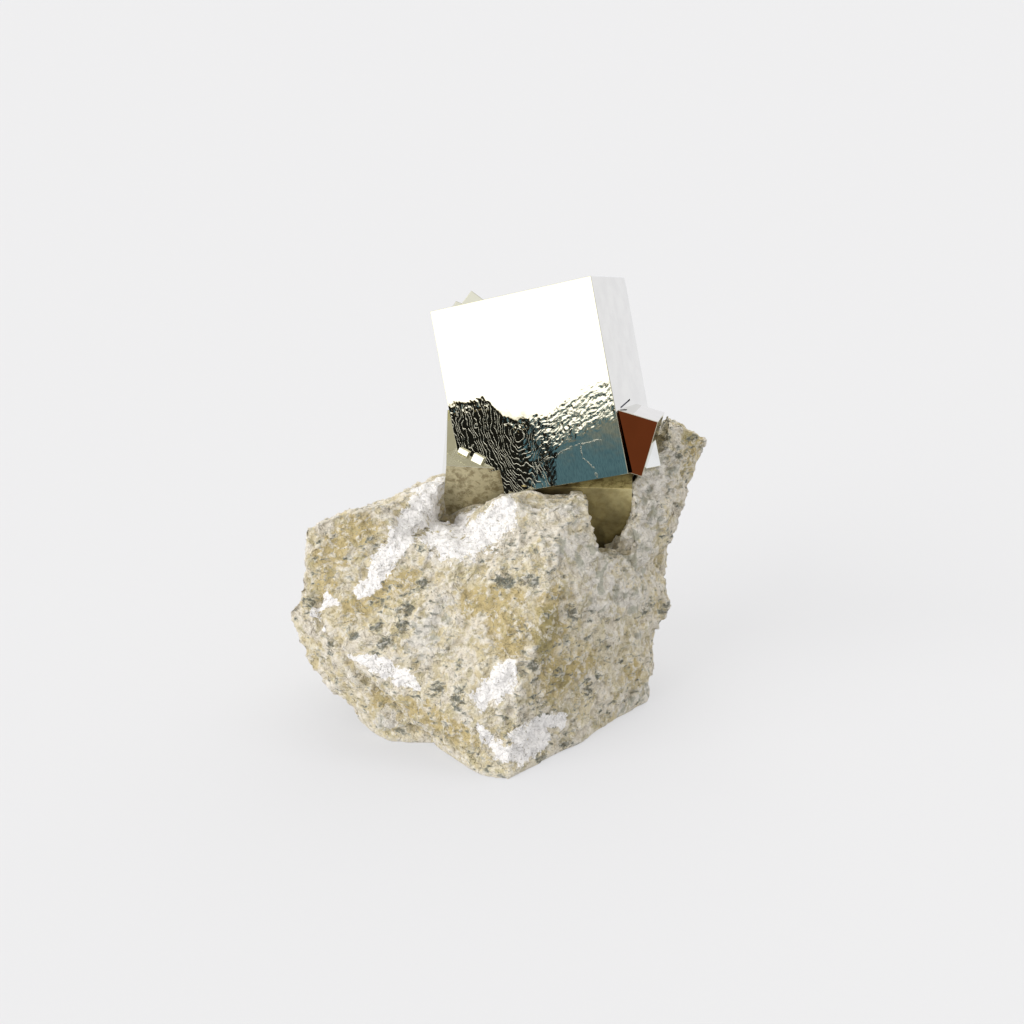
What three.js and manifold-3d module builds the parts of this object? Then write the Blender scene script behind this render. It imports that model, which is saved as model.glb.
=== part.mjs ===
// Intergrown pyrite crystals standing in a block of marl.
// Millimetres. +Z is up, +X is right and -Y is the front of the specimen.

import * as THREE from 'three';
import { ConvexGeometry } from 'three/addons/geometries/ConvexGeometry.js';
import { ImprovedNoise } from 'three/addons/math/ImprovedNoise.js';
import { TessellateModifier } from 'three/addons/modifiers/TessellateModifier.js';
import { mergeVertices } from 'three/addons/utils/BufferGeometryUtils.js';
import Module from 'manifold-3d';

// ---- driving dimensions ----

// Seat gap between the crystals and the rock around them.
const seatGap = 0.3;

// Main block of the cluster.
const blockWidth = 36;
const blockDepth = 21;
const blockHeight = 40;
const blockCentre = [7.0, 19.5, 63.0];
const blockTurn = [-17, -10.5, -23];

// Growth step cut into the block's lower left corner.
const stepWidth = 8.7;
const stepHeight = 5.2;

// Smaller crystals grown through the block: size, centre and turn in degrees.
const rightCube = { size: [11.7, 11.7, 11.7], centre: [23.3, 8.6, 56.1], turn: [-3.7, 14.7, -12] };
const leftCube = { size: [17, 17, 17], centre: [-6, 21, 45], turn: [26.1, 5.35, 0.75] };
const underCube = { size: [25, 18, 18], centre: [13, 16.8, 41], turn: [23.9, -1.75, -3.9] };
const backCube = { size: [9, 9, 9], centre: [-7.7, 32.1, 74.1], turn: [-20, 37, 0] };
const backBud = { size: [5, 5, 5], centre: [-10.9, 33, 75], turn: [-25, 20, 10] };

// Rock surface: its longest edge, and the height and spacing of its roughness.
const longestEdge = 4;
const coarseRelief = 1.1;
const coarseSpacing = 13;
const fineRelief = 0.55;
const fineSpacing = 5;

// The point inside the rock that its roughness spreads out from.
const heart = new THREE.Vector3(0, 5, 22);

// Corners of the broken pieces of rock that make up the block, piece by piece.
const lobes = {
  middle: [
    [-20, -10, -3], [-8, -16, -3], [17, -10, -3], [-20, 24, -3], [25, 22, -3],
    [-20, -6, 30], [15, -5, 30], [-18, 27, 37], [20, 25, 37],
  ],
  frontSlab: [
    [-1, -34, -3], [0.5, -30, 7], [1.5, -27, 14], [3, -23.5, 21], [6, -20, 26.5], [7, -12, 37],
    [-22.5, -3.2, 37.8], [-14, -7.5, 35.6], [-5, -7, 36.5], [-18, 9, 38.5], [-4, 10, 37],
    [-32.3, -9.2, 28.4], [-41.4, -9.5, 25], [-32.9, -17, 18.8], [-15.9, -24, 14.6],
    [-11, -27, 12.9], [-12, -21, -3], [20, -8, -3], [10, 10, 30], [-30, 6, 24],
  ],
  rim: [
    [-2.4, 0, 46.3], [8.3, -0.5, 46], [15.5, 1, 46.2], [7, -12, 37], [6, -20, 26.5],
    [-13, -6, 34.6], [-4, -5, 38.4], [-14.5, 15.5, 35], [-9, 15, 36.8], [-2, 10, 43],
    [13, 10, 43], [18.5, -3, 36], [-10, 0, 24], [16, 2, 24],
  ],
  rightFace: [
    [-1, -34, -3], [0.5, -30, 7], [13.5, -19, 3], [28.5, -1.5, 3], [28.5, 0, -3], [28, 3, 7],
    [1.5, -27, 14], [3, -23.5, 21], [6, -20, 26.5], [7, -12, 37], [18.5, -4, 35.5],
    [26, 2, 31.4], [31.8, 10, 25], [30, 5.5, 12], [26, 26, 6], [28, 26, 28],
  ],
  rightBulge: [
    [34, 8, 17.6], [33.5, 9.5, 20.5], [31.5, 6, 13], [24.5, -2.5, 17], [23.5, -1, 26],
    [32, 10.5, 25], [31.4, 11, 28.5], [25, 2, 30], [30, 24, 20], [20, 10, 12],
  ],
  leftHump: [
    [-42.4, -1, 39.2], [-42.8, -2.5, 32.8], [-42, -7, 26.5], [-34.2, 0, 42.5], [-27.2, 1, 44],
    [-23, 4, 43], [-38, 14, 36], [-36, 18, 24], [-26, 24, 38], [-32.3, -8.4, 28.8],
    [-22.8, -2.8, 38], [-20, 10, 24], [-34, 0, 20],
  ],
  leftShoulder: [
    [-14.3, 15, 46], [-15.2, 9.5, 45.4], [-21, 5, 43.6], [-28, 2, 43], [-23, -1.8, 38.6],
    [-18, 1.5, 39.4], [-26, 20, 39], [-14, 22, 44], [-14.8, 11, 36.4], [-22, 8, 30], [-12, 24, 34],
  ],
  leftHeel: [
    [-45.6, -6, 23.3], [-44.6, -6, 19], [-40.5, -8, 10.8], [-36, -8.5, 4.8], [-30.5, -11, 2],
    [-24.2, -17.6, 2], [-23, -17.6, -3], [-13.5, -19.5, -3], [-33, -15, 16], [-42, -5, 28], [-38, 8, 24],
    [-24, 14, -3], [-10, 0, 0], [-10, 0, 20],
  ],
  horn: [
    [31.5, 15.5, 56.4], [34, 16.5, 54.4], [37.4, 18, 54.2], [41.3, 18.5, 52.7], [40.8, 17, 50.4],
    [38, 14.5, 43.3], [35.4, 12, 37.2], [33, 10.5, 30.6], [26, 6, 47], [24.5, 3, 40],
    [26, 1.5, 30], [36, 26, 50], [33, 24, 57], [29, 30, 44], [29, 24, 24], [18, 8, 26],
  ],
  rightFlank: [
    [27.5, 0, 7], [27.5, 2, -3], [30, 14, -3], [30.3, 12, 9], [32.5, 14, 20], [31.8, 12, 27],
    [33, 14, 36], [36, 20, 45], [33, 26, 48], [30, 27, 30], [27, 25, -3], [25, 1, 30],
    [18, 10, 20], [18, 6, -3],
  ],
  leftFlank: [
    [-42, 2, 37], [-44, 0, 25], [-39, 12, 36], [-36, 19, 24], [-32, 21, 8], [-28, 18, -3],
    [-25, -14, -3], [-36, -4, 6], [-22, 26, 38], [-13, 29, 42], [-12, 32, 20], [-10, 28, -3],
    [-20, 6, 36], [-14, 10, 20],
  ],
  backWall: [
    [-14, 27, 43], [2, 33, 46], [20, 32, 49], [30, 25, 52], [23, 32, 18], [5, 36.5, 24],
    [-10, 36, 16], [-30, 22, 24], [23, 28.5, -3], [-8, 32, -3], [-24, 20, -3], [29, 25, 8], [30.5, 28, 28],
    [-6, 8, 10], [14, 8, 10],
  ],
};

// ---- solids ----

const manifold = await Module();
manifold.setup();

function toSolid(geometry) {
  const bare = geometry.clone();
  bare.deleteAttribute('normal');
  bare.deleteAttribute('uv');
  const merged = mergeVertices(bare, 1e-4);
  const mesh = new manifold.Mesh({
    numProp: 3,
    vertProperties: new Float32Array(merged.attributes.position.array),
    triVerts: new Uint32Array(merged.index.array),
  });
  return new manifold.Manifold(mesh);
}

function toGeometry(solid) {
  const mesh = solid.getMesh();
  const geometry = new THREE.BufferGeometry();
  geometry.setAttribute('position', new THREE.BufferAttribute(mesh.vertProperties, 3));
  geometry.setIndex(new THREE.BufferAttribute(mesh.triVerts, 1));
  geometry.computeVertexNormals();
  return geometry;
}

function turnOf(degrees) {
  const [x, y, z] = degrees.map(THREE.MathUtils.degToRad);
  return new THREE.Quaternion().setFromEuler(new THREE.Euler(x, y, z, 'XYZ'));
}

// A crystal as a box, each side standing out by `grown`.
function crystal({ size, centre, turn }, grown, offset = [0, 0, 0]) {
  const [width, depth, height] = size;
  const box = new THREE.BoxGeometry(width + 2 * grown, depth + 2 * grown, height + 2 * grown);
  box.translate(...offset);
  box.applyQuaternion(turnOf(turn));
  box.translate(...centre);
  return toSolid(box);
}

// ---- pyrite: all the crystals, grown together as one piece ----

function pyriteCluster(grown) {
  const at = { centre: blockCentre, turn: blockTurn };
  const upperHeight = blockHeight - stepHeight;
  const upper = { ...at, size: [blockWidth, blockDepth, upperHeight] };
  const lower = { ...at, size: [blockWidth - stepWidth, blockDepth, blockHeight / 2] };
  return crystal(upper, grown, [0, 0, stepHeight / 2])
    .add(crystal(lower, grown, [stepWidth / 2, 0, -blockHeight / 4]))
    .add(crystal(rightCube, grown))
    .add(crystal(leftCube, grown))
    .add(crystal(underCube, grown))
    .add(crystal(backCube, grown))
    .add(crystal(backBud, grown));
}

// ---- rock: broken faces with a rough surface, and a flat face underneath ----

// A lobe is the convex solid around its corners.
function lobe(corners) {
  return toSolid(new ConvexGeometry(corners.map(([x, y, z]) => new THREE.Vector3(x, y, z))));
}

const noise = new ImprovedNoise();

function relief(point, spacing, seed) {
  return noise.noise(point.x / spacing + seed, point.y / spacing, point.z / spacing);
}

// Splits long edges, then lifts and sinks the surface away from the heart.
function roughen(solid) {
  const splitter = new TessellateModifier(longestEdge, 12);
  const split = mergeVertices(splitter.modify(toGeometry(solid).toNonIndexed()
    .deleteAttribute('normal')), 1e-4);
  const position = split.attributes.position;
  const point = new THREE.Vector3();
  const outward = new THREE.Vector3();
  for (let i = 0; i < position.count; i += 1) {
    point.fromBufferAttribute(position, i);
    const rise = coarseRelief * relief(point, coarseSpacing, 7)
      + fineRelief * relief(point, fineSpacing, 31);
    outward.subVectors(point, heart).normalize();
    point.addScaledVector(outward, rise);
    position.setXYZ(i, point.x, point.y, point.z);
  }
  return toSolid(split);
}

const wholeRock = Object.values(lobes).map(lobe).reduce((rock, next) => rock.add(next));
const belowGround = new THREE.BoxGeometry(200, 200, 40).translate(0, 0, -20);
const rock = roughen(wholeRock)
  .subtract(toSolid(belowGround))
  .subtract(pyriteCluster(seatGap));

// ---- the specimen ----

const marl = new THREE.MeshStandardMaterial({ color: 0xd5c8a9, roughness: 0.95, metalness: 0 });
const pyrite = new THREE.MeshStandardMaterial({ color: 0xc2bfa9, roughness: 0.08, metalness: 1 });

const matrix = new THREE.Mesh(toGeometry(rock), marl);
matrix.name = 'matrix';

const cluster = new THREE.Mesh(toGeometry(pyriteCluster(0)), pyrite);
cluster.name = 'pyrite_cluster';

const specimen = new THREE.Group();
specimen.name = 'pyrite_specimen';
specimen.add(matrix, cluster);

// The origin goes under the middle of the specimen's box.
const box = new THREE.Box3().setFromObject(specimen);
const middle = box.getCenter(new THREE.Vector3());
specimen.position.set(-middle.x, -middle.y, -box.min.z);

export default specimen;
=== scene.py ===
"""Looks of a pyrite specimen: bright intergrown cubes of pyrite grown in a lump of pale marl."""

from math import radians

import bpy
import numpy as np
from mathutils import Euler, Matrix, Vector, noise
from mathutils.bvhtree import BVHTree


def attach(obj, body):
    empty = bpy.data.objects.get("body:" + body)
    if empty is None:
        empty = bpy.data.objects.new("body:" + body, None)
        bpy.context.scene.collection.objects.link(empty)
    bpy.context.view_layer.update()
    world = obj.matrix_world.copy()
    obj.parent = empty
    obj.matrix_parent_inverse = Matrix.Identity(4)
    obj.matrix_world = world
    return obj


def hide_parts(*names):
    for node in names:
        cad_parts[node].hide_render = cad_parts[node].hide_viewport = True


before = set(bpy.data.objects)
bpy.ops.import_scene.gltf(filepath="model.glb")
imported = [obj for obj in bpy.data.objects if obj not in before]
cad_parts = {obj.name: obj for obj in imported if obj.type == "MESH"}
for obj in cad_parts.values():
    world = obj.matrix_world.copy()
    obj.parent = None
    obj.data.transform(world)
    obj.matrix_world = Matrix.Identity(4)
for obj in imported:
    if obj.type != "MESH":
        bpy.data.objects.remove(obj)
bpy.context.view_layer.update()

MM = 0.001
# Crystals and strokes are drawn in mm from an origin of their own, which lies here in the part's frame.
DRAWN_FROM = Vector((2.231, -3.727, 0.0))

# Crystals: size, middle and turn about x, y and z in turn, in mm and degrees.
BLOCK = dict(size=(36, 21, 40), middle=(7, 19.5, 63), turn=(-17, -10.5, -23))
LEFT_CUBE = dict(size=(17, 17, 17), middle=(-6, 21, 45), turn=(26.1, 5.35, 0.75))
RIGHT_CUBE = dict(size=(11.7, 11.7, 11.7), middle=(23.3, 8.6, 56.1), turn=(-3.7, 14.7, -12))
UNDER_CUBE = dict(size=(22.6, 17.1, 18), middle=(14.2, 17.2, 41.2), turn=(23.9, -1.75, -3.9))
BACK_CUBE = dict(size=(9, 9, 9), middle=(-7.7, 32.1, 74.1), turn=(-20, 37, 0))
BACK_BUD = dict(size=(5, 5, 5), middle=(-10.9, 33, 75), turn=(-25, 20, 10))
SIDE_BUD = dict(size=(6, 5, 8), middle=(26.9, 11.3, 51.9), turn=(-25.5, -11, 0))
STEP = (8.7, 5.2)            # width and height of the notch at the block's lower left corner
EDGE_BEVEL = 0.1
# A fine groove in the block's right face: size, place along the face (y, z) and tilt in degrees.
GROOVE = dict(size=(0.5, 6.8, 0.34), place=(-3.7, -6.1), tilt=11)
# Two small growth plates on the block's front: size, middle and turn in the block's own axes.
GROWTH_PLATES = (("plate_high", (2.3, 0.8, 1.1), (-16.4, -10.35, -9.9), (-7, 36, 0)),
                 ("plate_low", (2.4, 0.8, 2.0), (-13.6, -10.35, -12.0), (-7, 36, 0)))
RIPPLES_FROM = 3.0           # the block's front carries growth ripples below this height
DEEPEST_RIPPLE = 0.9         # no ripple lies further than this below the flat front
RING = 0.68                  # distance between growth rings
RIPPLE_CUTS = 100            # cuts across each square, about 12 mm wide, of the rippled front

ROCK_VOXEL = 0.49            # grain of the rock's skin
SKIN_REACH = 1.9             # rock nearer than this to a crystal is drawn onto it
SKIN_OVERLAP = 0.25          # how far that rock reaches into the crystal


def deselect():
    bpy.ops.object.select_all(action="DESELECT")


def activate(piece):
    deselect()
    piece.select_set(True)
    bpy.context.view_layer.objects.active = piece


def coordinates(mesh):
    found = np.empty(len(mesh.vertices) * 3, np.float32)
    mesh.vertices.foreach_get("co", found)
    return found.reshape(-1, 3).astype(float)


def set_coordinates(mesh, points):
    mesh.vertices.foreach_set("co", points.astype(np.float32).ravel())
    mesh.update()


def modify(piece, kind, **settings):
    """Adds one modifier and applies it."""
    activate(piece)
    modifier = piece.modifiers.new(kind.title(), kind)
    for name, value in settings.items():
        setattr(modifier, name, value)
    bpy.ops.object.modifier_apply(modifier=modifier.name)


def smoothstep(low, high, x):
    t = np.clip((x - low) / (high - low), 0, 1)
    return t * t * (3 - 2 * t)


# ---------------------------------------------------------------- camera, floor and light

CAMERA_LENS, CAMERA_SENSOR = 56.25, 36
CAMERA_PLACE = (0.00223, -0.30773, 0.1533)
CAMERA_TILT = 70

FLOOR_SIZE = 14
FLOOR_WHITE = (0.27, 0.27, 0.27)
FLOOR_GLOW, FLOOR_GLOW_STRENGTH = (0.985, 0.99, 1.02), 0.51

SKY_WHITE, SKY_STRENGTH = (1.0, 0.985, 0.955), 0.74
LAMP_WHITE = (1.0, 0.985, 0.965)
# Soft lamps: strength, spread in degrees and the side they shine from.
LAMPS = (("key", 1.95, 50, (-0.80, -0.50, 0.42)), ("top", 1.5, 70, (0.30, 0.80, 0.95)))

BRIGHT, DARK, BLUE = (2.75, 2.75, 2.85), (0.016, 0.016, 0.015), (0.13, 0.26, 0.36)
# Glows that a bright card passes through on its way down to the dark one and to the blue one.
UMBER_FADE, GREY_FADE = (0.34, 0.28, 0.16), (0.37, 0.375, 0.33)
FADE_AT = 0.45
# Cards in one upright plane: left, right, low and high edge in metres, glow, and what it fades to.
WALL_CARDS = (
    ("cream_card", -0.30, 0.075, 0.140, 0.45, (1.75, 1.75, 1.80), None),
    ("bright_left_card", -0.30, 0.014, 0.074, 0.140, BRIGHT, None),
    ("bright_right_card", 0.014, 0.075, 0.083, 0.140, BRIGHT, None),
    ("left_fade", -0.075, 0.014, 0.063, 0.074, BRIGHT, (DARK, UMBER_FADE)),
    ("right_fade", 0.014, 0.075, 0.052, 0.083, BRIGHT, (BLUE, GREY_FADE)),
    ("dark_upper_card", -0.075, 0.014, 0.052, 0.063, DARK, None),
    ("dark_card", -0.075, 0.006, 0.002, 0.052, DARK, None),
    ("blue_card", 0.006, 0.040, 0.038, 0.052, BLUE, None),
    ("umber_card", 0.006, 0.075, 0.002, 0.038, (0.085, 0.065, 0.045), None),
    ("right_card", 0.040, 0.075, 0.038, 0.052, (0.5, 0.6, 0.6), None),
    ("left_card", -0.30, -0.075, 0.002, 0.074, (1.4, 1.4, 1.3), None))
# Cards that stand free: place, size, the way they face and glow.
FREE_CARDS = (
    ("side_card", (0.19, 0.205, 0.076), (0.17, 0.148), (-0.65, -0.76, 0), (1.26, 1.29, 1.56)),
    ("rear_card", (0.06, 0.310, 0.090), (0.22, 0.170), (-0.17, -0.98, 0), (1.12, 1.13, 1.28)),
    ("black_card", (0.16, -0.42, 0.10), (0.14, 0.14), (-0.3, 0.94, -0.1), (0.01, 0.01, 0.01)),
    ("over_front_card", (0.0, -0.75, 0.50), (0.7, 0.35), (0, 0.86, -0.5), (1.35, 1.38, 1.5)))


def camera():
    data = bpy.data.cameras.new("camera")
    data.lens, data.sensor_width = CAMERA_LENS, CAMERA_SENSOR
    data.clip_start, data.clip_end = 0.01, 20
    seen = bpy.data.objects.new("camera", data)
    bpy.context.collection.objects.link(seen)
    seen.location = CAMERA_PLACE
    seen.rotation_euler = (radians(CAMERA_TILT), 0, 0)
    bpy.context.scene.camera = seen


def floor_material():
    material = bpy.data.materials.new("floor_white")
    material.use_nodes = True
    shader = material.node_tree.nodes["Principled BSDF"]
    shader.inputs["Base Color"].default_value = (*FLOOR_WHITE, 1)
    shader.inputs["Roughness"].default_value = 0.9
    shader.inputs["Specular IOR Level"].default_value = 0.0
    shader.inputs["Emission Color"].default_value = (*FLOOR_GLOW, 1)
    shader.inputs["Emission Strength"].default_value = FLOOR_GLOW_STRENGTH
    return material


def floor():
    deselect()
    bpy.ops.mesh.primitive_plane_add(size=FLOOR_SIZE, location=(0, 0, 0))
    ground = bpy.context.object
    ground.name = "floor"
    ground.data.materials.append(floor_material())


def card(name, middle, size, towards, radiance, fade_to=None):
    """A glowing studio card that only mirror-like surfaces see.

    Given fade_to, it fades to the first of its two glows at the foot, by way of the second.
    """
    deselect()
    bpy.ops.mesh.primitive_plane_add(size=1)
    sheet = bpy.context.object
    sheet.name = name
    sheet.scale = (size[0], size[1], 1)
    sheet.location = middle
    sheet.rotation_mode = "QUATERNION"
    sheet.rotation_quaternion = Vector(towards).to_track_quat("Z", "Y")
    material = bpy.data.materials.new(name)
    material.use_nodes = True
    nodes = material.node_tree.nodes
    nodes.clear()
    glow = nodes.new("ShaderNodeEmission")
    glow.inputs["Color"].default_value = (*radiance, 1)
    glow.inputs["Strength"].default_value = 1.0
    if fade_to:
        foot, between = fade_to
        place = nodes.new("ShaderNodeSeparateXYZ")
        fade = nodes.new("ShaderNodeValToRGB")
        ramp = fade.color_ramp
        ramp.interpolation = "EASE"
        ramp.elements[0].color = (*foot, 1)
        ramp.elements[1].color = (*radiance, 1)
        ramp.elements.new(FADE_AT).color = (*between, 1)
        shift = nodes.new("ShaderNodeMath")
        shift.inputs[1].default_value = 0.5
        links = material.node_tree.links
        links.new(nodes.new("ShaderNodeTexCoord").outputs["Object"], place.inputs[0])
        links.new(place.outputs["Y"], shift.inputs[0])
        links.new(shift.outputs[0], fade.inputs["Fac"])
        links.new(fade.outputs["Color"], glow.inputs["Color"])
    out = nodes.new("ShaderNodeOutputMaterial")
    material.node_tree.links.new(glow.outputs["Emission"], out.inputs["Surface"])
    sheet.data.materials.append(material)
    sheet.visible_camera = False
    sheet.visible_diffuse = False
    sheet.visible_shadow = False


def wall_cards():
    """Cards in one upright plane at the front left, which the block's front mirrors."""
    outward = Vector((-0.70, -0.71, 0)).normalized()
    across = Vector((0.71, -0.70, 0)).normalized()
    foot = Vector((0.005, 0.006, 0)) + outward * 0.14
    for name, left, right, low, high, radiance, fade_to in WALL_CARDS:
        middle = foot + across * (left + right) / 2 + Vector((0, 0, (low + high) / 2))
        card(name, middle, (right - left, high - low), -outward, radiance, fade_to)


def studio():
    world = bpy.data.worlds.new("studio")
    bpy.context.scene.world = world
    world.use_nodes = True
    sky = world.node_tree.nodes["Background"]
    sky.inputs["Color"].default_value = (*SKY_WHITE, 1)
    sky.inputs["Strength"].default_value = SKY_STRENGTH
    for name, energy, spread, towards in LAMPS:
        data = bpy.data.lights.new(name, "SUN")
        data.energy = energy
        data.angle = radians(spread)
        data.color = LAMP_WHITE
        lamp = bpy.data.objects.new(name, data)
        bpy.context.collection.objects.link(lamp)
        lamp.rotation_mode = "QUATERNION"
        lamp.rotation_quaternion = Vector(towards).to_track_quat("Z", "Y")
        lamp.visible_glossy = False
    wall_cards()
    for name, at, size, towards, radiance in FREE_CARDS:
        card(name, Vector(at), size, towards, radiance)


# ---------------------------------------------------------------- pyrite

def placement(middle, turn, **_):
    """Where a drawn crystal stands; its size is not needed."""
    spot = (Vector(middle) + DRAWN_FROM) * MM
    return Matrix.Translation(spot) @ Euler([radians(a) for a in turn], "ZYX").to_matrix().to_4x4()


def cube(name, size, bevel=EDGE_BEVEL, middle=(0, 0, 0)):
    deselect()
    bpy.ops.mesh.primitive_cube_add(size=1, location=Vector(middle) * MM, scale=Vector(size) * MM)
    made = bpy.context.object
    made.name = name
    bpy.ops.object.transform_apply(location=True, rotation=True, scale=True)
    if bevel:
        bpy.ops.object.mode_set(mode="EDIT")
        bpy.ops.mesh.select_all(action="SELECT")
        bpy.ops.mesh.bevel(offset=bevel * MM, segments=2, affect="EDGES")
        bpy.ops.object.mode_set(mode="OBJECT")
    return made


def place(piece, **drawn):
    """Moves a piece made at the origin to where it stands."""
    piece.data.transform(placement(drawn["middle"], drawn["turn"]))
    piece.data.update()


def join_solid(body, other, operation="UNION"):
    modify(body, "BOOLEAN", operation=operation, object=other, solver="MANIFOLD")
    bpy.data.objects.remove(other, do_unlink=True)


def bisect(co, normal):
    bpy.ops.mesh.select_all(action="SELECT")
    bpy.ops.mesh.bisect(plane_co=Vector(co) * MM, plane_no=normal)


def wobble(points, size, seed):
    """Smooth noise from -1 to 1 at points given in mm, with features of the given size."""
    shift = Vector((13.7 * seed, 5.1 * seed, 7.9 * seed))
    return np.array([noise.noise(Vector(p) / size + shift) for p in points])


def sawtooth(phase):
    """Rises over the first quarter of each turn and falls slowly over the rest, from -0.5 to 0.5."""
    part = phase - np.floor(phase)
    return np.where(part < 0.25, part / 0.25, (1 - part) / 0.75) - 0.5


def near_line(u, v, corners):
    """Distance in mm from places on the block's front to a line through the given corners."""
    best = np.full_like(u, 1e9)
    for (u0, v0), (u1, v1) in zip(corners, corners[1:]):
        du, dv = u1 - u0, v1 - v0
        t = np.clip(((u - u0) * du + (v - v0) * dv) / (du * du + dv * dv), 0, 1)
        best = np.minimum(best, np.hypot(u - u0 - t * du, v - v0 - t * dv))
    return best


# Fine cracks on the block's front, as chains of points across and up from its middle, in mm.
CRACKS = (((-1.5, -16.5), (0.6, -14.5), (5.1, -13.4), (9.1, -12.5), (13.7, -12.4)),
          ((9.1, -12.5), (9.3, -15.5), (10.9, -17.9), (11.2, -19.5)),
          ((-3.0, -19.0), (-1.2, -16.8), (-0.9, -14.0)))
# Upper edge of the ripples: places across the front and its height there.
RIPPLE_EDGE = ((-18, -15.5, -11.7, -9, -6.4, -4.5, -1.4, 1, 3.2, 5, 7.5, 10.2, 13.9, 18),
               (0.2, 0.5, 0.5, 0.2, -3.6, -4.9, -5.2, -4.4, -5.6, -4.6, -3.2, -2.7, -1.1, -0.1))


def growth_field(u, v):
    """The growth marks at places on the block's front, u across and v up from its middle, in mm.

    top is the upper edge of the ripples, and covered grows from 0 to 1 below it. ring is the distance from
    the hub of the growth rings. rightward grows to 1 where scales take over from the rings, and along and
    across follow the scales. calm is 1 in the calm band below them. crack is the distance to a crack.
    """
    flat = np.stack([u, v, np.zeros_like(u)], 1)
    tall = np.stack([u, v / 1.7, np.zeros_like(u)], 1)
    f = {"flat": flat, "tall": tall}
    f["top"] = np.interp(u, *RIPPLE_EDGE)
    ragged = 0.9 * wobble(flat, 1.7, 1) + 0.6 * wobble(tall, 0.45, 15)
    right = smoothstep(4.0, 9.0, u)
    f["covered"] = smoothstep(0.0, 1.5 + 2.5 * right, f["top"] + ragged - v + 1.2 * right)
    drift_u = 1.1 * wobble(tall, 2.3, 2) + 0.55 * wobble(tall, 0.8, 3)
    drift_v = 1.1 * wobble(tall, 2.6, 4) + 0.55 * wobble(tall, 0.9, 5)
    f["hub"] = -8.5 + 5.5 * smoothstep(2.5, 10.0, -3.2 - u)
    down = smoothstep(-1.0, 2.0, f["hub"] - v)
    deep = np.maximum(-13.0 - v, 0)
    sideways = u + 3.2 - 0.5 * deep
    upright = (v - f["hub"] + drift_v) * (0.50 + 0.20 * down) + 0.45 * deep
    f["ring"] = np.hypot(sideways + drift_u, upright)
    f["ring"] += 0.6 * smoothstep(-12.5, -15.0, v) * np.maximum(sideways, 0)
    f["along"] = (u * 0.78 + v * 0.62) / 2.4
    f["across"] = u * 0.62 - v * 0.78 + 0.5 * drift_u
    steel_from = -12.6 + 0.30 * (u - 3)
    f["calm"] = smoothstep(0.5, 3.5, u) * smoothstep(2.0, -1.5, v - steel_from + 0.8 * wobble(flat, 2.0, 11))
    f["rightward"] = smoothstep(-1.2, 1.8, u + 0.25 * (v + 12) + 0.7 * wobble(flat, 1.5, 12))
    f["crack"] = np.minimum.reduce([near_line(u + 0.3 * drift_u, v + 0.3 * drift_v, c) for c in CRACKS])
    return f


def growth_relief(u, v):
    """Height in mm of the growth ripples at places on the block's front."""
    f = growth_field(u, v)
    strength = (0.30 + 0.70 * smoothstep(-3.0, 1.0, f["hub"] - v + 0.6 * np.abs(u + 3.2)))
    strength *= (0.8 + 0.5 * wobble(f["flat"], 1.4, 10)) * (1 - 0.25 * smoothstep(-10.0, -15.0, v))
    fingerprint = 0.014 * strength * sawtooth(f["ring"] / RING) + 0.012 * wobble(f["tall"], 1.6, 8) - 0.06
    upper = smoothstep(3.8, 0.8, f["top"] - v)
    fingerprint += upper * 0.055 * wobble(f["tall"], 0.42, 14)
    scaled = np.stack([f["along"], f["across"], np.zeros_like(u)], 1)
    scales = 0.064 * wobble(scaled, 0.54, 6) + 0.036 * wobble(scaled, 0.27, 7)
    steel = 0.004 * wobble(f["flat"], 1.0, 9)
    rightward, calm = f["rightward"], f["calm"]
    below = np.maximum(f["top"] - v, 0)
    right = smoothstep(0.0, 8.0, u)
    knee = 9.0 - 3.8 * right
    # The rippled part sinks towards its foot, on the left less steeply below the knee, on the right more so.
    swell = -(0.045 - 0.015 * right) * np.minimum(below, knee)
    swell -= (0.018 + 0.030 * right) * np.maximum(below - knee, 0)
    relief = fingerprint * (1 - rightward) + rightward * (scales * (1 - calm) + steel * calm)
    return (relief + swell) * f["covered"]


def growth_marks(body):
    """Stores the growth marks of the block's front on the vertices, for its material."""
    points = coordinates(body.data)
    turned = np.array(placement(**BLOCK).inverted())
    local = (points @ turned[:3, :3].T + turned[:3, 3]) / MM
    w, d, h = (side / 2 for side in BLOCK["size"])
    u, v = local[:, 0], local[:, 2]
    front = (np.abs(local[:, 1] + d) < DEEPEST_RIPPLE) & (np.abs(u) < w + 0.01) & (np.abs(v) < h + 0.01)
    front &= (u > -11) | (local[:, 1] > -d - 0.03)    # the growth plates stand out and stay unmarked
    f = growth_field(u[front], v[front])
    for name, parts in (("front", ("u", "v", "calm")), ("flow", ("along", "across", "rightward")),
                        ("growth", ("ring", "crack", "covered"))):
        values = np.zeros((len(points), 3), np.float32)
        for i, part in enumerate(parts):
            values[front, i] = {"u": u[front], "v": v[front], **f}[part]
        stored = body.data.attributes.new(name, "FLOAT_VECTOR", "POINT")
        stored.data.foreach_set("vector", values.ravel())


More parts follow.
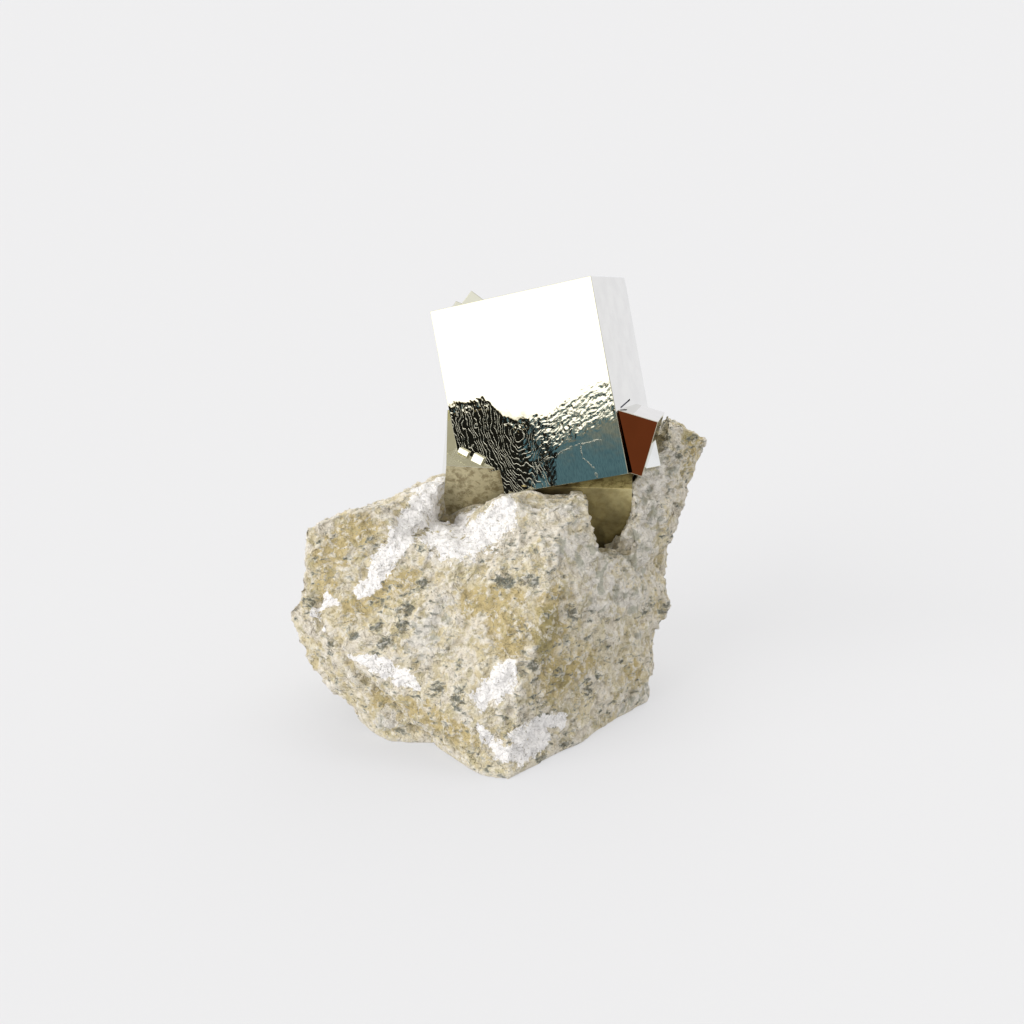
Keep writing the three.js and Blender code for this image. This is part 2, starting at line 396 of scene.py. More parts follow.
def block():
    """The main crystal: rippled front, notched corner, growth plates and groove."""
    body = cube("block", BLOCK["size"])
    activate(body)
    bpy.ops.object.mode_set(mode="EDIT")
    # These cuts part the rippled front into six pieces, and each is then cut up finely.
    for co, normal in (((0, 0, RIPPLES_FROM), (0, 0, 1)), ((0, 0, -8.5), (0, 0, 1)),
                       ((-6, 0, 0), (1, 0, 0)), ((6, 0, 0), (1, 0, 0))):
        bisect(co, normal)
    bpy.ops.mesh.select_all(action="DESELECT")
    bpy.ops.object.mode_set(mode="OBJECT")
    for face in body.data.polygons:
        face.select = face.normal.y < -0.99 and face.center.z < RIPPLES_FROM * MM
    bpy.ops.object.mode_set(mode="EDIT")
    bpy.ops.mesh.select_mode(type="FACE")
    bpy.ops.mesh.subdivide(number_cuts=RIPPLE_CUTS)
    bpy.ops.object.mode_set(mode="OBJECT")
    points = coordinates(body.data)
    # The front, together with its bevels.
    front = points[:, 1] < (-BLOCK["size"][1] / 2 + EDGE_BEVEL + 0.02) * MM
    local = points[front] / MM
    points[front, 1] -= growth_relief(local[:, 0], local[:, 2]) * MM
    set_coordinates(body.data, points)
    w, h = BLOCK["size"][0] / 2, BLOCK["size"][2] / 2
    notch = cube("notch", (STEP[0] + 2, 30, STEP[1] + 2), 0,
                 (-w + STEP[0] / 2 - 1, 0, -h + STEP[1] / 2 - 1))
    join_solid(body, notch, "DIFFERENCE")
    for name, size, spot, tilt in GROWTH_PLATES:
        plate = cube(name, size, 0.04)
        tilted = Euler([radians(a) for a in tilt]).to_matrix().to_4x4()
        plate.data.transform(Matrix.Translation(Vector(spot) * MM) @ tilted)
        join_solid(body, plate)
    groove = cube("groove", GROOVE["size"], 0)
    tilted = Matrix.Rotation(radians(GROOVE["tilt"]), 4, "X")
    groove.data.transform(Matrix.Translation(Vector((w, *GROOVE["place"])) * MM) @ tilted)
    join_solid(body, groove, "DIFFERENCE")
    place(body, **BLOCK)
    return body


def pyrite():
    body = block()
    for name, drawn in (("left", LEFT_CUBE), ("right", RIGHT_CUBE), ("under", UNDER_CUBE),
                        ("back", BACK_CUBE), ("bud", BACK_BUD), ("side_bud", SIDE_BUD)):
        other = cube(name, drawn["size"])
        place(other, **drawn)
        join_solid(body, other)
    body.name = "pyrite_crystals"
    activate(body)
    bpy.ops.object.shade_smooth_by_angle(angle=radians(35))
    # Only the small faces of ripples and bevels stay smooth.
    for face in body.data.polygons:
        if face.area > 0.05 * MM * MM:
            face.use_smooth = False
    return body


# ---------------------------------------------------------------- rock

def merged_copy(node):
    """A copy of a CAD node, with its corners joined up; the node itself stays as it is."""
    copy = node.copy()
    copy.data = node.data.copy()
    bpy.context.collection.objects.link(copy)
    copy.parent = None
    copy.matrix_world = Matrix.Identity(4)
    copy.hide_render = copy.hide_viewport = False
    activate(copy)
    bpy.ops.object.mode_set(mode="EDIT")
    bpy.ops.mesh.select_all(action="SELECT")
    bpy.ops.mesh.remove_doubles(threshold=1e-6)
    bpy.ops.object.mode_set(mode="OBJECT")
    return copy


def clouds(name, size, depth):
    texture = bpy.data.textures.new(name, "CLOUDS")
    texture.noise_scale = size * MM
    texture.noise_depth = depth
    return texture


def shards(name, size):
    texture = bpy.data.textures.new(name, "VORONOI")
    texture.noise_scale = size * MM
    texture.distance_metric = "DISTANCE"
    texture.weight_1, texture.weight_2 = -1.0, 1.0
    return texture


def ridges(name, size):
    texture = bpy.data.textures.new(name, "MUSGRAVE")
    texture.musgrave_type = "RIDGED_MULTIFRACTAL"
    texture.noise_scale = size * MM
    texture.octaves = 3
    texture.noise_intensity = 0.35
    return texture


def weigh(body, name, weights):
    """Makes a vertex group from weights of 0 to 1, in tenths."""
    group = body.vertex_groups.new(name=name)
    for step in range(11):
        picked = np.nonzero(np.round(weights * 10) == step)[0]
        group.add(picked.tolist(), step / 10, "REPLACE")


# Boxes cut from the rock beside the crystals: size, middle and turn.
CARVINGS = (("beside_right_cube", (9.6, 16.0, 10.4), (26.7, 12.45, 54.6), (-16.6, 8.3, -5.4)),
            ("before_block", (10.0, 9.0, 3.0), (6.8, 2.5, 46.0), (0, 0, 0)),
            ("beside_under_cube", (4.2, 15.0, 12.6), (21.5, 3.4, 40.3), (-19.4, 23, -4.2)))


def distances(body, tree):
    """How far in mm each vertex of the rock lies from the crystals."""
    return np.array([tree.find_nearest(Vector(p))[3] for p in coordinates(body.data)]) / MM


def rock(crystals):
    """The lump of marl: carved beside the crystals, drawn onto them and roughened everywhere else."""
    body = merged_copy(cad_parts["matrix"])
    body.name = "marl_rock"
    for name, size, middle, turn in CARVINGS:
        cutter = cube(name, size, 0)
        place(cutter, middle=middle, turn=turn)
        join_solid(body, cutter, "DIFFERENCE")
    modify(body, "REMESH", mode="VOXEL", voxel_size=ROCK_VOXEL * MM, adaptivity=0)
    tree = BVHTree.FromObject(crystals, bpy.context.evaluated_depsgraph_get())
    weigh(body, "away", smoothstep(0.8, 3.0, distances(body, tree)))
    modify(body, "SMOOTH", factor=0.5, iterations=6, vertex_group="away")
    hug(body, tree)
    # The rock is not roughened next to the crystals or at its flat foot.
    height = coordinates(body.data)[:, 2] / MM
    weigh(body, "free", smoothstep(0.3, 2.0, distances(body, tree)) * smoothstep(0.4, 3.0, height))
    for texture, middle, strength in (
            (clouds("lumps", 5.0, 1), 0.5, 1.5), (ridges("ridges", 3.2), 0.5, 1.1),
            (shards("shards", 3.4), 0.42, 0.9), (clouds("chips", 1.5, 2), 0.5, 1.0),
            (clouds("grain", 0.7, 1), 0.5, 0.5)):
        modify(body, "DISPLACE", texture=texture, texture_coords="LOCAL", direction="NORMAL",
               mid_level=middle, strength=strength * MM, vertex_group="free")
    points = coordinates(body.data)
    points[:, 2] = np.maximum(points[:, 2], 0)
    set_coordinates(body.data, points)
    body.vertex_groups.clear()
    activate(body)
    bpy.ops.object.shade_smooth()
    for name, strokes in PAINT.items():
        paint(body.data, name, strokes)
    hollows(body.data)
    return body


def hollows(mesh):
    """Stores how far in mm each vertex lies below the skin around it; ridges come out below zero."""
    points = coordinates(mesh) / MM
    edges = np.empty(len(mesh.edges) * 2, np.int32)
    mesh.edges.foreach_get("vertices", edges)
    a, b = edges.reshape(-1, 2).T
    shared = np.bincount(np.concatenate([a, b]), minlength=len(points))[:, None]
    eased = points
    for _ in range(7):
        total = np.stack([np.bincount(np.concatenate([a, b]), np.concatenate([eased[b, i], eased[a, i]]),
                                      len(points)) for i in range(3)], 1)
        eased = 0.4 * eased + 0.6 * total / shared
    normals = np.empty(len(points) * 3, np.float32)
    mesh.vertices.foreach_get("normal", normals)
    depth = ((eased - points) * normals.reshape(-1, 3)).sum(1)
    stored = mesh.attributes.new("hollow", "FLOAT", "POINT")
    stored.data.foreach_set("value", depth.astype(np.float32))


def hug(body, tree):
    """Draws the rock's skin onto the crystals where it comes close, so that no gap shows."""
    points = coordinates(body.data)
    for i, p in enumerate(points):
        spot, normal, _, away = tree.find_nearest(Vector(p))
        away /= MM
        if away < SKIN_REACH:
            outside = (Vector(p) - spot).dot(normal) > 0
            freedom = smoothstep(0.5, SKIN_REACH, away)
            wanted = (-SKIN_OVERLAP if outside else SKIN_OVERLAP) * (1 - freedom)
            kept = away * freedom
            direction = (Vector(p) - spot).normalized() if away > 1e-4 else normal
            points[i] = spot + direction * (kept + wanted) * MM
    set_coordinates(body.data, points)


# Strokes over the rock: each is a chain of points in mm, as drawn, with the stroke's half width there.
CHALK = (
    ((-17.9, 5.9, 43.1, 2.8), (-20.6, 1.3, 40.2, 2.6), (-23.7, -4, 36.6, 2.4), (-26.5, -6.2, 33.4, 2.3),
     (-28.8, -8.2, 29.9, 1.9), (-31, -8.8, 28.8, 1.2)),
    ((-41.0, -8.8, 25.2, 1.9), (-39.5, -9.6, 23.0, 1.5), (-37.4, -10.9, 20.6, 0.8)),
    ((-40.7, -9.5, 25.2, 1.9), (-37.4, -8.2, 26.8, 1.4), (-35.0, -9.2, 26.8, 0.7)),
    ((-32.9, -17.2, 18.9, 0.7), (-28.3, -18.9, 18.4, 1.5), (-24.6, -20.5, 17.2, 1.8),
     (-21.4, -21.9, 16.2, 1.8), (-18.5, -23.2, 15.1, 1.0)),
    ((-17.2, 8.0, 43.6, 2.0), (-16.0, 7.2, 40.5, 2.2), (-14.6, 4.6, 38.0, 2.4), (-11.8, 5.6, 37.2, 2.2),
     (-8.6, -0.6, 39.8, 2.0)),
    ((-16.4, -0.6, 37.4, 2.0), (-13.4, -4.2, 37.2, 2.0), (-10.6, -3.6, 37.0, 2.2)),
    ((-17.5, 3, 40.5, 2.6), (-15.6, -0.6, 37.9, 3.4), (-12, -3.3, 37.8, 4.6), (-8, -4, 39.2, 4.8),
     (-4, -2.5, 41.9, 4.2), (-1, -1.8, 44.2, 2.2)),
    ((-15.5, 9, 39, 2.5), (-10, 10, 37, 2.5), (-5, 8, 39, 2.5), (0, 6, 42, 2)),
    ((-5.8, -27, 14, 2.2), (-2.3, -25.7, 17.6, 2.6), (-0.4, -24.4, 20.2, 1.6)),
    ((1, -28.9, 6.9, 1.6), (6.5, -24.3, 7.2, 2.2), (10, -21.2, 6.4, 1.5)),
    ((6, -25, 4.5, 2), (1.5, -29, 3.2, 2), (-2.3, -30.7, 4.6, 1.5), (-6.2, -28.8, 8.9, 1)),
    ((16.5, 0.5, 41, 0.9), (17, 0, 38, 0.7)),
    ((-16.5, 14, 43.5, 3), (-17, 10, 44, 3), (-19, 14, 46, 3)),
)
ASH = (
    ((-16.1, -15.8, 25.8, 3), (-18, -18, 22.5, 3.4), (-13.2, -13.4, 29.1, 1.6)),
    ((11.5, -7.1, 38.2, 4), (17.7, -4.8, 34.1, 5), (18.5, -6.5, 28, 4.5), (25.3, -0.6, 23.6, 4)),
    ((26, 2, 31, 5), (28, 5, 38, 5), (30, 8, 45, 4.5), (31, 12, 52, 3)),
    ((27.2, -0.4, 14.5, 2.2),),
    ((1.6, -1.4, 44.7, 2.4), (6.6, -1.1, 45.6, 2.4), (12.6, -2.4, 43.9, 2.2)),
    ((28, 0, 3, 2), (22, -6, 2, 1.6), (12, -17, 1.5, 1.6)),
    ((-26, -17, 4, 2), (-18, -22, 5, 2)),
)
OCHRE = (
    ((-30.6, -2.2, 39.6, 5), (-37, -5, 35, 5), (-39, -8, 29, 4)),
    ((-32.3, -11.2, 25.9, 3.5), (-22, -9, 31, 4)),
    ((-8.3, -14, 29.3, 4), (-2.4, -15.4, 29.9, 5), (-0.4, -21.1, 23.9, 5)),
    ((9.4, -15.1, 29.8, 4), (7.4, -19.4, 23.2, 5.5), (9.4, -20.4, 15, 5.5), (15.6, -13.4, 16, 3.5)),
    ((-26.4, -16.6, 8.8, 3), (-17.9, -25, 9.7, 3.5), (-8.1, -29.6, 6.7, 3)),
    ((37, 15, 50, 2.5), (38.5, 16.7, 53, 2.5), (36, 13, 46.5, 1.5)),
    ((31.5, 5, 20, 2.5),), ((25, -3.5, 9, 3.5),),
)
SHADE = (
    ((8, -18, 27, 3.5), (6.5, -20.5, 22, 3)), ((10, -19.5, 14, 2.6),), ((37.5, 16.5, 54, 2.2),),
    ((11, -20, 8.5, 2.5),),
)
GRIT = tuple(((x, y, z, r),) for x, y, z, r in (
    (-8.7, -9.4, 34.2, 1.1), (-18.1, -9.9, 31.4, 1.6), (-26.7, -10.7, 27.9, 1.2), (-21, -13.3, 27.1, 1.7),
    (-22.1, -15.5, 24.6, 1.8), (-26.9, -14.5, 24, 1.6), (-31.5, -14.5, 22.5, 1.5), (-25.2, -17, 21.8, 1.8),
    (-10.7, -21.9, 19.6, 1.5), (-14.9, -24.3, 14.8, 2.0), (-10.6, -26.5, 13.7, 1.9), (-27.8, -3, 38, 1.4),
    (-36.6, -12.2, 18.3, 1.7), (-41.6, -6.4, 25.6, 1.7), (-22.4, -18.1, 3, 1.2), (-1.6, -12.9, 33.1, 2.0),
    (3.3, -13.9, 33.1, 2.1), (12.3, -13.6, 26.8, 1.8), (15.8, -10.6, 25.5, 1.4), (19.9, -1.4, 34.3, 1.6),
    (4.6, -23.4, 19.5, 1.4), (9.4, -19.8, 16.5, 1.5), (15.6, -14.9, 10.1, 1.9), (22.8, -5.8, 12, 1.0),
    (32.5, 6.6, 18.4, 1.5), (28.2, 2.5, 19.8, 1.5), (5.7, -26.5, 0.9, 1.8), (11, -22, 0.9, 1.6),
    (32.2, 14, 54.4, 1.4), (32.6, 10.7, 48, 1.5), (29.1, 7.4, 44.8, 1.5), (28.9, 5.3, 38.1, 1.4),
    (38.2, 16.7, 53.1, 1.6), (35, 13.2, 50.5, 1.2), (-33, 2, 40.5, 1.5), (-36, -12, 11, 1.4)))
PAINT = {"chalk": CHALK, "ash": ASH, "ochre": OCHRE, "shade": SHADE, "grit": GRIT}


def paint(mesh, name, strokes):
    """Stores each vertex's depth in the strokes: 1 in the middle of one, 0.5 at its edge, 0 well outside."""
    points = coordinates(mesh) / MM - np.array(DRAWN_FROM)
    depth = np.zeros(len(points))
    for stroke in strokes:
        chain = np.array(stroke if len(stroke) > 1 else stroke * 2, float)
        for a, b in zip(chain, chain[1:]):
            along = b[:3] - a[:3]
            t = np.clip((points - a[:3]) @ along / max(along @ along, 1e-9), 0, 1)
            gap = np.linalg.norm(points - a[:3] - t[:, None] * along, axis=1)
            width = a[3] + t * (b[3] - a[3])
            depth = np.maximum(depth, 1 - 0.5 * gap / width)
    stored = mesh.attributes.new(name, "FLOAT", "POINT")
    stored.data.foreach_set("value", np.clip(depth, 0, 1).astype(np.float32))


# ---------------------------------------------------------------- materials

class Recipe:
    """A material's node tree, built a node at a time."""

    def __init__(self, name):
        self.material = bpy.data.materials.new(name)
        self.material.use_nodes = True
        self.tree = self.material.node_tree
        self.shader = self.tree.nodes["Principled BSDF"]
        self.place = self.add("ShaderNodeTexCoord").outputs["Object"]

    def add(self, kind, inputs=(), **settings):
        node = self.tree.nodes.new(kind)
        for name, value in settings.items():
            setattr(node, name, value)
        for name, value in dict(inputs).items():
            if isinstance(value, bpy.types.NodeSocket):
                self.tree.links.new(value, node.inputs[name])
            else:
                node.inputs[name].default_value = value
        return node

    def set(self, name, value):
        if isinstance(value, bpy.types.NodeSocket):
            self.tree.links.new(value, self.shader.inputs[name])
        else:
            self.shader.inputs[name].default_value = value

    def vector(self, name):
        return self.add("ShaderNodeAttribute", attribute_name=name).outputs["Vector"]

    def parts(self, vector):
        return tuple(self.add("ShaderNodeSeparateXYZ", {"Vector": vector}).outputs)

    def clouds(self, size, detail=2.0, roughness=0.5, distortion=0.0, stretch=None, shift=0.0, place=None):
        """Noise from 0 to 1 with features of the given size in mm; a place given is in mm itself."""
        if place:
            size /= MM
        else:
            place = self.place
        if stretch or shift:
            moved = (shift, shift * 0.7, -shift)
            place = self.add("ShaderNodeMapping", {"Vector": place, "Scale": stretch or (1, 1, 1),
                                                   "Location": moved}).outputs[0]
        noise_inputs = {"Vector": place, "Scale": 1 / (size * MM), "Detail": detail,
                        "Roughness": roughness, "Distortion": distortion}
        return self.add("ShaderNodeTexNoise", noise_inputs).outputs["Fac"]

    def span(self, value, low, high, to_low=0.0, to_high=1.0):
        """Carries a value softly from one range to another."""
        return self.add("ShaderNodeMapRange", {"Value": value, "From Min": low, "From Max": high,
                                               "To Min": to_low, "To Max": to_high},
                        interpolation_type="SMOOTHSTEP").outputs["Result"]

    def math(self, how, a, b=0.0, c=None):
        node = self.add("ShaderNodeMath", operation=how)
        for socket, value in zip(node.inputs, (a, b, c)):
            if isinstance(value, bpy.types.NodeSocket):
                self.tree.links.new(value, socket)
            elif value is not None:
                socket.default_value = value
        return node.outputs[0]

    def painted(self, name):
        """A number stored on the mesh."""
        return self.add("ShaderNodeAttribute", attribute_name=name).outputs["Fac"]

    def mix(self, amount, a, b, how="MIX"):
        """Mixes two colours; sockets 6 and 7 are the node's colours."""
        node = self.add("ShaderNodeMix", data_type="RGBA", blend_type=how)
        for index, value in ((0, amount), (6, a), (7, b)):
            if isinstance(value, bpy.types.NodeSocket):
                self.tree.links.new(value, node.inputs[index])
            else:
                node.inputs[index].default_value = (*value, 1) if index else value
        return node.outputs[2]

    def bump(self, height, distance, below=None):
        inputs = {"Height": height, "Distance": distance * MM, "Strength": 1.0}
        if below is not None:
            inputs["Normal"] = below
        return self.add("ShaderNodeBump", inputs).outputs["Normal"]


def marl_material():
    r = Recipe("marl")
    broad, middling = r.clouds(11, 3), r.clouds(3.2, 4, 0.6, 0.6)
    pits, fine = r.clouds(1.1, 4, 0.68, 0.4, stretch=(1, 1, 1.3)), r.clouds(0.5, 2, 0.6)
    colour = r.mix(r.span(middling, 0.38, 0.60), (0.64, 0.55, 0.345), (0.75, 0.685, 0.53))
    pale = r.clouds(5.0, 4, 0.62, 0.8, shift=0.3)
    colour = r.mix(r.span(pale, 0.46, 0.56, 0, 0.75), colour, (0.79, 0.735, 0.65))
    ochre = r.math("ADD", r.painted("ochre"), r.span(middling, 0.3, 0.7, -0.30, 0.22))
    colour = r.mix(r.span(ochre, 0.45, 0.75, 0, 0.9), colour, (0.545, 0.435, 0.205))
    uneven = r.span(r.clouds(2.6, 4, 0.65, 0.5, shift=0.9), 0.3, 0.7, -0.3, 0.25)
    ashy = r.span(r.math("ADD", r.painted("ash"), uneven), 0.45, 0.65)
    colour = r.mix(r.math("MULTIPLY", ashy, 0.8), colour, (0.765, 0.735, 0.69))
    plain = r.math("MULTIPLY_ADD", ashy, -0.75, 1.0)
    shade = r.math("ADD", r.painted("shade"), r.span(middling, 0.3, 0.7, -0.25, 0.2))
    colour = r.mix(r.span(shade, 0.35, 0.9, 0, 0.8), colour, (0.34, 0.29, 0.13))
    powder = r.span(r.clouds(1.7, 5, 0.68, 0.6, shift=0.7), 0.52, 0.60, 0, 0.7)
    colour = r.mix(powder, colour, (0.85, 0.815, 0.74))
    olive = r.span(r.clouds(2.2, 4, 0.62, 0.5, shift=1.7), 0.55, 0.63, 0, 0.6)
    colour = r.mix(olive, colour, (0.48, 0.425, 0.24))
    blotches = r.span(r.clouds(2.8, 2.0, 0.5, 0.4, shift=5.3), 0.52, 0.62, 0.0, 0.8)
    colour = r.mix(r.math("MULTIPLY", blotches, ashy), colour, (0.42, 0.42, 0.345))
    grit = r.span(r.painted("grit"), 0.30, 0.75, 0.0, 0.16)
    more = r.math("ADD", r.span(broad, 0.38, 0.62, -0.04, 0.04), grit)
    spots = r.math("ADD", r.clouds(1.5, 1.8, 0.55, 0.35, stretch=(0.8, 0.8, 1.6)), more)
    mottle = r.math("MULTIPLY", r.span(fine, 0.35, 0.6, 0.55, 1.0), r.math("MULTIPLY_ADD", plain, 0.7, 0.3))
    rims = r.math("MULTIPLY", r.span(spots, 0.575, 0.64, 0, 0.65), mottle)
    colour = r.mix(rims, colour, (0.36, 0.37, 0.33))
    cores = r.math("MULTIPLY", r.span(spots, 0.645, 0.71, 0, 0.9), mottle)
    colour = r.mix(cores, colour, (0.115, 0.13, 0.11))
    flecks = r.clouds(0.55, 2, 0.55, 0.3, shift=0.5, stretch=(0.9, 0.9, 1.4))
    dots = r.math("MULTIPLY", r.span(r.math("ADD", flecks, more), 0.675, 0.72, 0, 0.75), plain)
    colour = r.mix(dots, colour, (0.17, 0.16, 0.12))
    # Painted shade in the low spots of the pits' bump.
    painted_pit_shade = r.math("MULTIPLY", r.span(pits, 0.30, 0.45, 0.5, 0.0), plain)
    colour = r.mix(painted_pit_shade, colour, (0.34, 0.28, 0.16))
    # Painted shade in the hollows of the skin and a painted highlight on its ridges.
    hollow = r.painted("hollow")
    colour = r.mix(r.span(hollow, 0.05, 0.26, 0.0, 0.35), colour, (0.34, 0.28, 0.16))
    colour = r.mix(r.span(hollow, -0.05, -0.24, 0.0, 0.45), colour, (0.88, 0.85, 0.79))
    # Thin dark lines along the creases and seams are painted shade in the cracks; both also feed the bump
    # below.
    creases = r.math("ABSOLUTE", r.math("SUBTRACT", r.clouds(2.4, 4, 0.6, 0.5, shift=4.1), 0.5))
    colour = r.mix(r.span(creases, 0.0, 0.020, 0.12, 0.0), colour, (0.33, 0.28, 0.17))
    seams = r.math("ABSOLUTE", r.math("SUBTRACT", r.clouds(6.0, 3, 0.6, 0.9, shift=2.3), 0.5))
    seams = r.math("ADD", seams, r.span(r.clouds(4, 2), 0.42, 0.58, 0.05, 0.0))
    colour = r.mix(r.span(seams, 0.003, 0.016, 0.35, 0.0), colour, (0.33, 0.28, 0.17))
    uneven = r.span(r.clouds(1.6, 4, 0.66, 0.5, shift=0.2), 0.3, 0.7, -0.20, 0.20)
    chalk = r.math("ADD", r.painted("chalk"), uneven)
    worn = r.math("MULTIPLY", r.span(flecks, 0.62, 0.68, 1.0, 0.4), r.span(seams, 0.004, 0.02, 0.7, 1.0))
    colour = r.mix(r.math("MULTIPLY", r.span(chalk, 0.46, 0.52), worn), colour, (0.97, 0.95, 0.94))
    r.set("Base Color", colour)
    r.set("Roughness", 0.92)
    r.set("Specular IOR Level", 0.25)
    relief = r.bump(r.span(seams, 0.0, 0.04), 0.15)
    relief = r.bump(r.span(creases, 0.0, 0.12), 0.18, relief)
    relief = r.bump(pits, 0.55, relief)
    r.set("Normal", r.bump(fine, 0.10, relief))
    return r.material


def pyrite_material():
    r = Recipe("pyrite")
    plane, flow = r.vector("front"), r.vector("flow")
    calm, rightward = r.parts(plane)[2], r.parts(flow)[2]
    ring, crack, covered = r.parts(r.vector("growth"))
    breaks = r.clouds(0.9, 2, 0.6, place=plane)
    wander = r.math("MULTIPLY_ADD", r.clouds(0.7, 2, 0.6, place=plane, shift=3), 0.24, -0.12)
    phase = r.math("FRACT", r.math("DIVIDE", r.math("ADD", ring, wander), RING))
    crest = r.math("MULTIPLY", r.math("ABSOLUTE", r.math("SUBTRACT", phase, 0.5)), 2.0)
    lines = r.math("MULTIPLY", r.span(crest, 0.72, 0.95), r.span(breaks, 0.34, 0.56, 0.15, 1.0))
    lines = r.math("MULTIPLY", lines, r.math("MULTIPLY", covered, r.math("SUBTRACT", 1.0, rightward)))
    split = r.math("ADD", crack, r.math("MULTIPLY_ADD", r.clouds(0.6, 3, 0.7, place=plane), 1.1, -0.55))
    split = r.math("MULTIPLY", r.span(split, 0.12, 0.03), covered)
    marks = r.math("MAXIMUM", lines, r.math("MULTIPLY", split, r.span(breaks, 0.3, 0.6, 0.2, 0.75)))
    streaks = r.clouds(0.5, 3, 0.6, 0.2, stretch=(2.2, 0.4, 1), place=plane)
    tint = r.add("ShaderNodeAttribute", attribute_name="tint").outputs["Color"]
    bright = r.mix(r.span(r.clouds(4, 3), 0.3, 0.7), (0.52, 0.50, 0.385), (0.56, 0.54, 0.415))
    bright = r.mix(r.math("MULTIPLY", marks, 0.5), bright, (0.20, 0.20, 0.16))
    streaked = r.math("MULTIPLY", calm, r.span(streaks, 0.40, 0.65, 0.0, 0.55))
    bright = r.mix(streaked, bright, (0.30, 0.31, 0.26))
    dusty = r.painted("dull")
    specks = r.span(r.clouds(1.5, 5, 0.7, 0.3), 0.38, 0.58, 0.85, 0.0)
    bright = r.mix(r.math("MULTIPLY", specks, dusty), bright, (0.17, 0.135, 0.07))
    # Painted shade: the dull faces darken in this span across, where the under cube's top lies below the
    # block's bottom edge.
    ragged = r.math("MULTIPLY_ADD", r.clouds(2.5, 3), 6 * MM, -3 * MM)
    sideways = r.math("ADD", r.parts(r.place)[0], ragged)
    from_left, to_right = r.span(sideways, 5.0 * MM, 6.5 * MM), r.span(sideways, 15.5 * MM, 12.5 * MM)
    painted_shade_under_block = r.math("MULTIPLY", r.math("MULTIPLY", from_left, to_right), r.span(dusty, 0.0, 0.3))
    bright = r.mix(r.math("MULTIPLY", painted_shade_under_block, 0.8), bright, (0.075, 0.055, 0.030))
    r.set("Base Color", r.mix(1.0, bright, tint, "MULTIPLY"))
    r.set("Metallic", r.math("MULTIPLY_ADD", dusty, -0.85, 1.0))
    smooth = r.span(r.clouds(1.4, 4, 0.6), 0.4, 0.75, 0.025, 0.075)
    dull = r.math("MULTIPLY", dusty, r.span(r.clouds(0.9, 3, 0.6), 0.35, 0.7, 0.28, 0.50))
    r.set("Roughness", r.math("ADD", smooth, r.math("MAXIMUM", dull, r.math("MULTIPLY", marks, 0.30))))
    relief = r.bump(marks, 0.012)
    fine = r.clouds(0.26, 2, 0.6, place=flow)
    scales = r.math("MULTIPLY", fine, r.math("MULTIPLY", rightward, r.math("SUBTRACT", covered, calm)))
    relief = r.bump(scales, 0.04, relief)
    r.set("Normal", r.bump(r.clouds(2.2, 2, 0.5), 0.012, relief))
    return r.material


# Tints of some faces: an iron film, painted shade in the groove and painted reflections on the smaller
# crystals; a tint above 1 brightens the pyrite.
IRON_FILM = (0.235, 0.061, 0.024)
# Near black for the groove's faces: painted shade in the recess.
GROOVE_PAINTED_SHADE = (0.03, 0.03, 0.03)
# A dull olive tint on the under cube's top, standing in for the block's shaded underside that it mirrors: a
# painted reflection.
OLIVE_PAINTED_REFLECTION = (0.98, 0.86, 0.50)
# A tint above 1 that brightens what the left cube's top mirrors: a painted reflection.
PALE_PAINTED_REFLECTION = (1.4, 1.4, 1.4)
# A bluish tint that turns the side bud's yellow mirror image of the pale backdrop white: a painted
# reflection.
COOL_PAINTED_REFLECTION = (1.03, 1.06, 1.28)
# A brighter olive tint on the under cube's front, partly dull, standing in for the shaded rock it mirrors: a
# painted reflection.
MOSS_PAINTED_REFLECTION = (1.20, 1.11, 0.78)
# A brighter sandy tint on the left cube's front, mostly dull, standing in for the rock it mirrors and
# lifting the shade the rock casts there: a painted reflection and painted light.
SAND_PAINTED_REFLECTION = (1.12, 1.05, 0.88)
# Tinted faces, with the iron film and the painted reflections: the crystal, the axis the face looks along
# and which end of it, the tint and its dullness.
FILMS_AND_PAINTED_REFLECTIONS = ((RIGHT_CUBE, 1, -1, IRON_FILM, 0.0), (UNDER_CUBE, 2, 1, OLIVE_PAINTED_REFLECTION, 1.0),
         (UNDER_CUBE, 1, -1, MOSS_PAINTED_REFLECTION, 0.35), (LEFT_CUBE, 2, 1, PALE_PAINTED_REFLECTION, 0.0),
         (LEFT_CUBE, 1, -1, SAND_PAINTED_REFLECTION, 0.85))
FLUSH = 0.05                 # a tinted face lies no further than this from the crystal's own side
BEVEL_REACH = 0.15           # a bevel's middle lies no further than this from both of its sides
BEVEL_SPAN = 13              # nor further than this along it, from the middle of the crystal
SMALLEST_COOL_FACE = 2.0     # in square mm
# The groove's faces have their middles in this part of the block, across, in depth and up.
GROOVE_SPACE = ((17, 17.98), (-7.5, 0.5), (-8, -4.5))


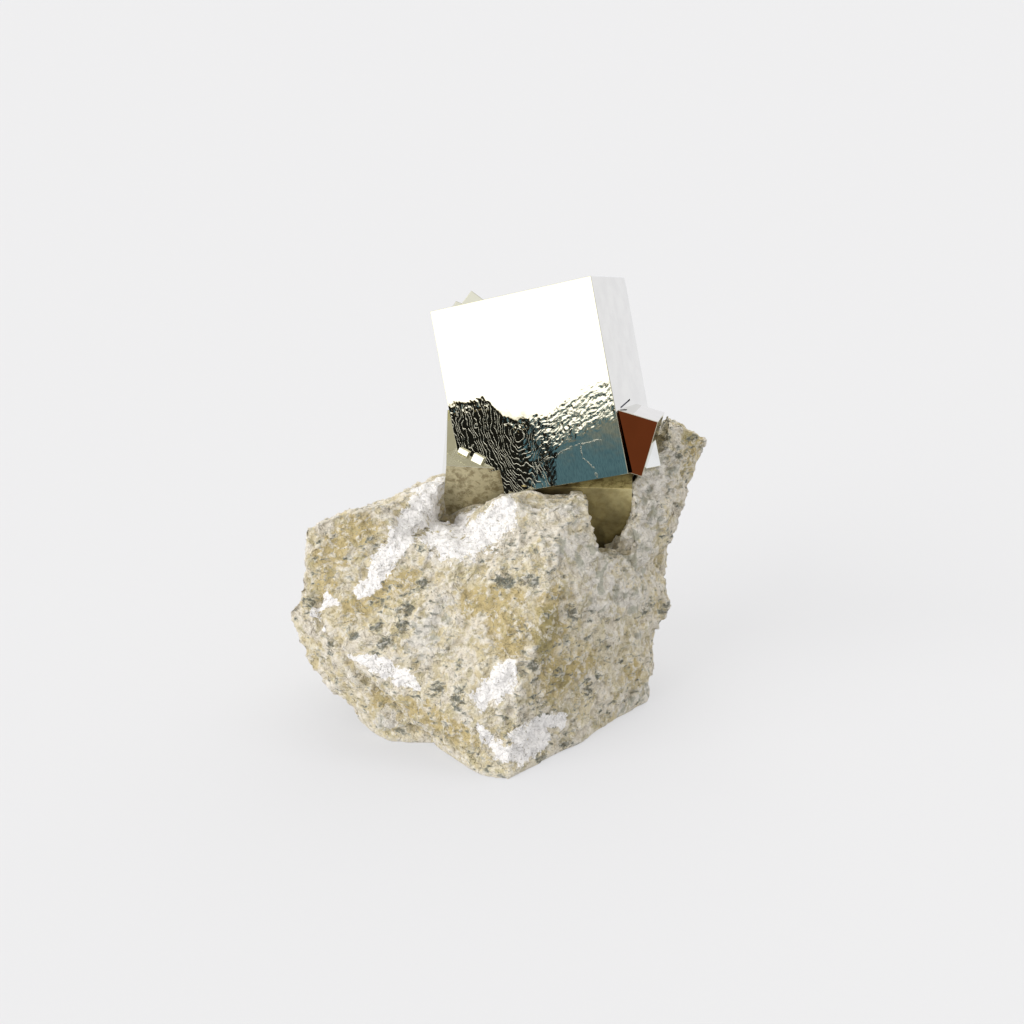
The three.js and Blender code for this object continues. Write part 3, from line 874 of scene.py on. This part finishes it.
def faces_from(body, crystal):
    """Each face, with its middle in mm and its direction in the crystal's own axes."""
    inward = placement(**crystal).inverted()
    turned = inward.to_3x3()
    for face in body.data.polygons:
        yield face, inward @ face.center / MM, turned @ face.normal


def within(spot, crystal):
    """Whether a place in the crystal's own axes lies in the crystal, or just outside it."""
    return all(abs(x) < side / 2 + EDGE_BEVEL for x, side in zip(spot, crystal["size"]))


def films_and_painted_light(body):
    """Stores each face's tint and dullness: an iron film and painted reflections on the smaller crystals,
    and painted shade in the groove.
    """
    colours = np.ones((len(body.data.polygons), 4), np.float32)
    dull = np.zeros(len(body.data.polygons), np.float32)
    # The side bud's larger faces take the cool painted reflection tint.
    for face, spot, _ in faces_from(body, SIDE_BUD):
        if within(spot, SIDE_BUD) and face.area > SMALLEST_COOL_FACE * MM * MM:
            colours[face.index, :3] = COOL_PAINTED_REFLECTION
    for face, spot, _ in faces_from(body, BLOCK):
        # The groove's faces take painted shade.
        if all(low < x < high for x, (low, high) in zip(spot, GROOVE_SPACE)):
            colours[face.index, :3] = GROOVE_PAINTED_SHADE
    for crystal, axis, end, tint, dullness in FILMS_AND_PAINTED_REFLECTIONS:
        half = crystal["size"][axis] / 2
        for face, spot, facing in faces_from(body, crystal):
            flush = end * facing[axis] > 0.99 and abs(end * spot[axis] - half) < FLUSH
            if flush and within(spot, crystal):
                colours[face.index, :3], dull[face.index] = tint, dullness
    # The olive painted reflection also goes on the under cube's top bevel, in place of its highlight.
    _, front, top = (side / 2 for side in UNDER_CUBE["size"])
    for face, spot, _ in faces_from(body, UNDER_CUBE):
        on_bevel = abs(spot.y + front) < BEVEL_REACH and abs(spot.z - top) < BEVEL_REACH
        if on_bevel and abs(spot.x) < BEVEL_SPAN:
            colours[face.index, :3], dull[face.index] = OLIVE_PAINTED_REFLECTION, 1.0
    stored = body.data.attributes.new("tint", "FLOAT_COLOR", "FACE")
    stored.data.foreach_set("color", colours.ravel())
    stored = body.data.attributes.new("dull", "FLOAT", "FACE")
    stored.data.foreach_set("value", dull)


camera()
floor()
studio()
crystals = pyrite()
marl = rock(crystals)
crystals.data.materials.clear()
marl.data.materials.clear()
films_and_painted_light(crystals)
growth_marks(crystals)
crystals.data.materials.append(pyrite_material())
marl.data.materials.append(marl_material())
for piece, node, slot in ((crystals, "pyrite_cluster", "pyrite"), (marl, "matrix", "marl")):
    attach(piece, "root")
    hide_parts(node)

scene = bpy.context.scene
scene.view_settings.view_transform = "Standard"
scene.cycles.glossy_bounces = 10
